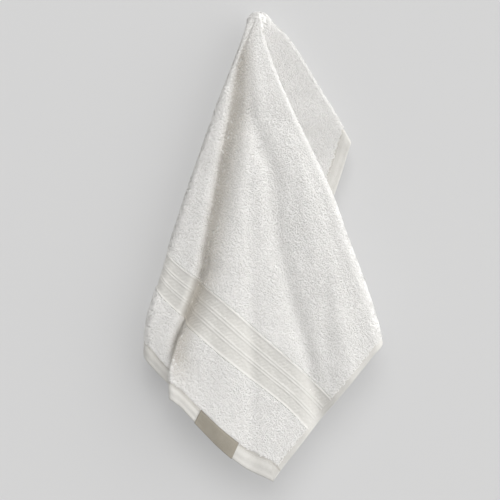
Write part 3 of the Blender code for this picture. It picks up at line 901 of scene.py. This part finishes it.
def makeLoops(grid, zone, seed, material):
    picked, side, size, random = scatterLoops(grid, zone, seed)
    count = len(picked["a"])
    a, b = picked["a"], picked["b"]
    normal = picked["outward"] * side
    hookward, across = clothWays(picked)
    curl = pile["calm"] + (pile["curly"] - pile["calm"]) * (1.0 - ease(*pile["curls"], b))
    patches = sum(most * softNoise(a, b, cell, salt) for most, cell, salt in pile["turns"])
    turn = curl * patches + random.normal(0, pile["turnSpread"], count)
    way = hookward * np.cos(turn)[:, None] + across * np.sin(turn)[:, None]
    flatness = np.maximum(squeezeAt(picked["heights"]), pile["leastRise"])
    sway, swayCell = pile["leanSway"]
    lean = pile["lean"] * (1.0 + sway * softNoise(a, b, swayCell, 33))
    lean += random.normal(0, pile["leanSpread"], count)
    taller, tallerCell = pile["riseSway"]
    rise = pile["rise"] * flatness * (1.0 + taller * softNoise(a, b, tallerCell, 34))
    rise *= random.uniform(*pile["riseSpread"], count)
    rise *= 1.0 + (size - 1.0) * pile["sizeRise"]
    span = pile["span"] * size * random.uniform(*pile["spanSpread"], count) * (0.7 + 0.3 * flatness)
    width = pile["width"] * size * random.uniform(*pile["widthSpread"], count)
    up = normal + hookward * lean[:, None]
    broad = np.cross(way, up)
    broad /= np.linalg.norm(broad, axis=1)[:, None]
    root = picked["middle"] + normal * (pile["rootHeight"] * flatness)[:, None]
    tint = random.uniform(*pile["tints"], count)
    # painted shade: loops deep in the channel are darkened
    tint *= 1.0 - pile["foldShade"] * foldShadeAt(picked["middle"][:, 0], picked["heights"], picked["angle"])
    points, shades = [], []
    for t, share in zip(pile["stations"], pile["widths"]):
        arch = math.sin(math.pi * (0.06 + 0.88 * t)) ** 0.8
        centre = root + up * (rise * arch)[:, None] + way * (span * (t - 0.4))[:, None]
        half = (width * share * 0.5)[:, None]
        points += [centre - broad * half, centre + broad * half]
        # painted shade: the foot of each loop is a little darker than its top
        shades += [tint * (pile["rootShade"] + (1.0 - pile["rootShade"]) * arch)] * 2
    points = np.stack(points, 1)
    shades = np.stack(shades, 1)
    quads = np.array([(2 * k, 2 * k + 1, 2 * k + 3, 2 * k + 2) for k in range(len(pile["stations"]) - 1)])
    each = points.shape[1]
    pieces = []
    for part, begin in enumerate(range(0, count, pile["most"])):
        some = slice(begin, min(begin + pile["most"], count))
        number = some.stop - some.start
        faces = (quads[None] + (np.arange(number) * each)[:, None, None]).reshape(-1, 4)
        name = f"terry_{zone[0]}" + (f"_{part + 1}" if count > pile["most"] else "")
        values = {"shade": shades[some].ravel()}
        pieces.append(addMesh(name, points[some].reshape(-1, 3), faces, material, values))
    print("loops", zone[0], count, "area each", zone[4])
    return pieces


stitches = {"pitch": 3.4, "length": 2.7, "half": 0.28, "inset": 2.6, "height": 1.3}


def makeStitches(material):
    sizes = stitches
    along = np.arange(cloth["selvedge"], cloth["width"] - cloth["selvedge"], sizes["pitch"])
    starts = []
    for line in (cloth["hem"] - sizes["inset"], cloth["length"] - cloth["hem"] + sizes["inset"]):
        starts += [(a, line) for a in along]
    starts = np.array(starts)
    start, end = label["fromCorner"] - 4.0, label["fromCorner"] + label["width"] + 1.0
    underLabel = (starts[:, 1] < cloth["hem"]) & (starts[:, 0] > start) & (starts[:, 0] < end)
    starts = starts[~underLabel]
    points = []
    for share, thin in ((0.0, 0.25), (0.3, 1.0), (0.7, 1.0), (1.0, 0.25)):
        middle, outward, height = onCloth(starts[:, 0] + sizes["length"] * share, starts[:, 1])
        far, _, _ = onCloth(starts[:, 0] + sizes["length"] * share, starts[:, 1] + 0.5)
        across = far - middle
        across /= np.linalg.norm(across, axis=1)[:, None]
        centre = middle + outward * ((sizes["height"] - 0.5 * (1 - thin)) * squeezeAt(height))[:, None]
        for turn in np.arange(4) * math.pi / 2:
            reach = sizes["half"] * thin
            points.append(centre + across * reach * math.cos(turn) + outward * reach * math.sin(turn))
    points = np.stack(points, 1)
    ring = []
    for k in range(3):
        ring += [(4 * k + c, 4 * k + (c + 1) % 4, 4 * k + 4 + (c + 1) % 4, 4 * k + 4 + c) for c in range(4)]
    ring += [(3, 2, 1, 0), (12, 13, 14, 15)]
    faces = (np.array(ring)[None] + (np.arange(len(starts)) * 16)[:, None, None]).reshape(-1, 4)
    return addMesh("hemStitches", points.reshape(-1, 3), faces, material)


print("placing the cloth")
grid = sheetGrid()
towelCloth = makeSheet(grid, groundFinish())
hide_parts("towel")
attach(towelCloth, "root")

print("weaving the band and the label")
wovenBand = makeBand(bandFinish())
hemStitches = makeStitches(threadFinish())
sewnLabel = makeLabel(labelFinish())
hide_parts("label")
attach(sewnLabel, "root")

print("growing the pile")
loopMaterial = loopFinish()
piles = []
for number, zone in enumerate(pileZones):
    piles += makeLoops(grid, zone, 100 + number, loopMaterial)
trims = [wovenBand, hemStitches] + piles
for trim in trims:
    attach(trim, "root")

studio = {
    "wallBehind": 0.032,
    "wallHalf": 3.0,
    "wallColour": (0.40, 0.40, 0.40, 1.0),
    "wallGlow": 0.25,  # the wall's own light softens every shadow on it
    "worldColour": (0.815, 0.81, 0.805, 1.0),
    "worldStrength": 0.44,
    # lights: strength, breadth in degrees, the way from the towel to the light
    "suns": {"key": (1.3, 34.0, (0.0, -1.0, 0.66)), "side": (2.4, 90.0, (1.0, -0.42, 0.32))},
    "rearSize": 1.2,
    "rearEnergy": 9.0,
    "rearPlace": (0.3, 1.6, 0.5),
    "rearWay": (-0.3, -1.6, -0.8),
    "cameraPlace": (-0.0112, -1.650, -0.3346),
    "lens": 83.8,
}


def makeWall():
    # a pale wall that is only seen from its front, and that lets the light from behind through
    half, y = studio["wallHalf"], studio["wallBehind"] / mm
    corners = np.array([(-half, 0, -half), (half, 0, -half), (half, 0, half), (-half, 0, half)]) / mm
    corners[:, 1] = y
    finish = Finish("paleWall", 0.9)
    finish.shader.inputs["Base Color"].default_value = studio["wallColour"]
    finish.shader.inputs["Emission Color"].default_value = (1.0, 1.0, 1.0, 1.0)
    finish.shader.inputs["Emission Strength"].default_value = studio["wallGlow"]
    path = finish.tree.nodes.new("ShaderNodeLightPath")
    geometry = finish.tree.nodes.new("ShaderNodeNewGeometry")
    back = Socket(finish.tree, geometry.outputs["Backfacing"])
    through = back.math("MAXIMUM", back, Socket(finish.tree, path.outputs["Is Shadow Ray"]))
    clear = finish.node("ShaderNodeBsdfTransparent")
    lit = Socket(finish.tree, finish.shader.outputs[0])
    both = finish.node("ShaderNodeMixShader", None, 0, i0=through, i1=lit, i2=clear)
    output = finish.tree.nodes["Material Output"]
    finish.tree.links.new(both.value, output.inputs["Surface"])
    wall = addMesh("wall", corners, [(0, 1, 2, 3)], finish.material, smooth=False)


def aim(thing, way):
    # turns a light or camera so that it looks along this direction
    thing.rotation_euler = Vector(way).to_track_quat("-Z", "Y").to_euler()


def makeLights():
    scene = bpy.context.scene
    world = bpy.data.worlds.new("studio")
    world.use_nodes = True
    background = world.node_tree.nodes["Background"]
    background.inputs["Color"].default_value = studio["worldColour"]
    background.inputs["Strength"].default_value = studio["worldStrength"]
    scene.world = world
    for name, (strength, breadth, way) in studio["suns"].items():
        sun = bpy.data.objects.new(name, bpy.data.lights.new(name, "SUN"))
        sun.data.energy, sun.data.angle = strength, math.radians(breadth)
        aim(sun, [-value for value in way])
        scene.collection.objects.link(sun)
    rear = bpy.data.objects.new("rear", bpy.data.lights.new("rear", "AREA"))
    rear.data.energy, rear.data.size = studio["rearEnergy"], studio["rearSize"]
    rear.location = studio["rearPlace"]
    aim(rear, studio["rearWay"])
    scene.collection.objects.link(rear)
    scene.view_settings.view_transform = "Standard"


def makeCamera():
    camera = bpy.data.objects.new("camera", bpy.data.cameras.new("camera"))
    camera.data.lens, camera.data.sensor_width = studio["lens"], 36.0
    camera.data.clip_start = 0.05
    camera.location = studio["cameraPlace"]
    camera.rotation_euler = (math.radians(90), 0, 0)
    bpy.context.scene.collection.objects.link(camera)
    bpy.context.scene.camera = camera


print("setting up the studio")
makeWall()
makeLights()
makeCamera()
